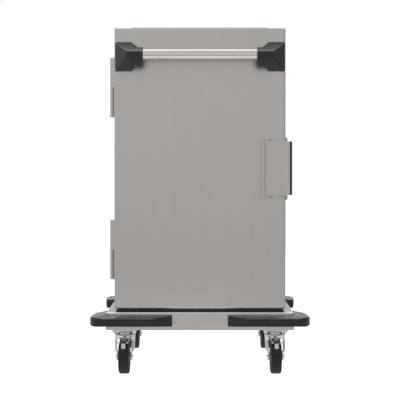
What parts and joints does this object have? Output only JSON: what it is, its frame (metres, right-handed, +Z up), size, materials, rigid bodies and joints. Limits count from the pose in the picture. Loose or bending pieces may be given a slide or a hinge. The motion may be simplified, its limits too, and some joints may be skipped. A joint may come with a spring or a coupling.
{
  "type": "enclosed meal tray cart",
  "caption": "Enclosed stainless meal tray cart: hinged door with push bar and edge latch, tray rails inside, platform with rubber corner bumpers and swivel castors.",
  "frame": {"origin": "on the floor, below the middle of the whole cart's box", "axes": "+Z up, +Y towards the back, the door faces -Y, +X to the right as one faces the door"},
  "size_m": [0.833, 0.8129, 1.333],
  "materials": {
    "stainless": "fine brushed stainless sheet, satin",
    "hinge_steel": "satin stainless",
    "inner_steel": "mill finish sheet",
    "zinc_steel": "bright zinc plated",
    "polished_tube": "polished stainless tube",
    "black_moulding": "black moulded plastic, fine texture",
    "bumper_rubber": "moulded black rubber",
    "seal_rubber": "black extruded seal",
    "black_board": "black plastic board",
    "tyre": "dark grey rubber tread",
    "wheel_plastic": "grey moulded wheel centre"
  },
  "bodies": {
    "chassis": {"platform_pan": "stainless", "castor_beams": "inner_steel", "deck_stiffeners": "inner_steel", "bumper_front_left": "bumper_rubber", "bumper_front_right": "bumper_rubber", "bumper_rear_left": "bumper_rubber", "bumper_rear_right": "bumper_rubber", "bumper_screws": "zinc_steel", "plinth_board": "black_board", "floor_panel": "stainless", "side_panel_left": "stainless", "side_panel_right": "stainless", "back_panel": "stainless", "roof_pan": "stainless", "ceiling_liner": "stainless", "roof_crown": "stainless", "rack_posts": "stainless", "rack_rails": "stainless", "body_hinge_leaves": "hinge_steel", "hinge_pins": "zinc_steel", "latch_keeper": "zinc_steel", "castor_plates": "zinc_steel", "castor_bolts": "zinc_steel"},
    "door": {"door_skin": "stainless", "door_liner": "stainless", "door_stiffeners": "inner_steel", "door_gasket": "seal_rubber", "door_sweep": "seal_rubber", "door_hinge_leaves": "hinge_steel", "push_bar": "polished_tube", "handle_bracket_left": "black_moulding", "handle_bracket_right": "black_moulding", "latch_base": "stainless", "latch_pin": "zinc_steel"},
    "latch": {"latch_lever": "stainless", "latch_arm": "zinc_steel", "latch_grip": "black_moulding"},
    "fork_fl": {"castor_fork_fl": "zinc_steel", "castor_axle_fl": "zinc_steel"},
    "wheel_fl": {"wheel_core_fl": "wheel_plastic", "wheel_tyre_fl": "tyre"},
    "fork_fr": {"castor_fork_fr": "zinc_steel", "castor_axle_fr": "zinc_steel"},
    "wheel_fr": {"wheel_core_fr": "wheel_plastic", "wheel_tyre_fr": "tyre"},
    "fork_rl": {"castor_fork_rl": "zinc_steel", "castor_axle_rl": "zinc_steel"},
    "wheel_rl": {"wheel_core_rl": "wheel_plastic", "wheel_tyre_rl": "tyre"},
    "fork_rr": {"castor_fork_rr": "zinc_steel", "castor_axle_rr": "zinc_steel"},
    "wheel_rr": {"wheel_core_rr": "wheel_plastic", "wheel_tyre_rr": "tyre"},
    "brake_fl": {"brake_lever_fl": "zinc_steel", "brake_pedal_fl": "black_moulding"},
    "brake_fr": {"brake_lever_fr": "zinc_steel", "brake_pedal_fr": "black_moulding"}
  },
  "joints": [
    {"name": "door_hinge", "type": "hinge", "parent": "chassis", "child": "door", "pos_m": [-0.337, -0.2705, 0.25], "axis": [0, 0, -1], "range_deg": [0, 180]},
    {"name": "latch_pull", "type": "hinge", "parent": "door", "child": "latch", "pos_m": [0.256, -0.3315, 0.7815], "axis": [0, 0, -1], "range_deg": [0, 25], "stiffness_Nm_per_rad": 0.8},
    {"name": "swivel_fl", "type": "hinge", "parent": "chassis", "child": "fork_fl", "pos_m": [-0.2885, -0.2505, 0.146], "axis": [0, 0, 1], "continuous": true},
    {"name": "roll_fl", "type": "hinge", "parent": "fork_fl", "child": "wheel_fl", "pos_m": [-0.2885, -0.2885, 0.0625], "axis": [1, 0, 0], "continuous": true},
    {"name": "swivel_fr", "type": "hinge", "parent": "chassis", "child": "fork_fr", "pos_m": [0.2885, -0.2505, 0.146], "axis": [0, 0, 1], "continuous": true},
    {"name": "roll_fr", "type": "hinge", "parent": "fork_fr", "child": "wheel_fr", "pos_m": [0.2885, -0.2885, 0.0625], "axis": [1, 0, 0], "continuous": true},
    {"name": "swivel_rl", "type": "hinge", "parent": "chassis", "child": "fork_rl", "pos_m": [-0.2885, 0.2785, 0.146], "axis": [0, 0, 1], "continuous": true},
    {"name": "roll_rl", "type": "hinge", "parent": "fork_rl", "child": "wheel_rl", "pos_m": [-0.2885, 0.3165, 0.0625], "axis": [1, 0, 0], "continuous": true},
    {"name": "swivel_rr", "type": "hinge", "parent": "chassis", "child": "fork_rr", "pos_m": [0.2885, 0.2785, 0.146], "axis": [0, 0, 1], "continuous": true},
    {"name": "roll_rr", "type": "hinge", "parent": "fork_rr", "child": "wheel_rr", "pos_m": [0.2885, 0.3165, 0.0625], "axis": [1, 0, 0], "continuous": true},
    {"name": "brake_fl", "type": "hinge", "parent": "fork_fl", "child": "brake_fl", "pos_m": [-0.2885, -0.2695, 0.131], "axis": [1, 0, 0], "range_deg": [0, 4]},
    {"name": "brake_fr", "type": "hinge", "parent": "fork_fr", "child": "brake_fr", "pos_m": [0.2885, -0.2695, 0.131], "axis": [1, 0, 0], "range_deg": [0, 4]}
  ]
}
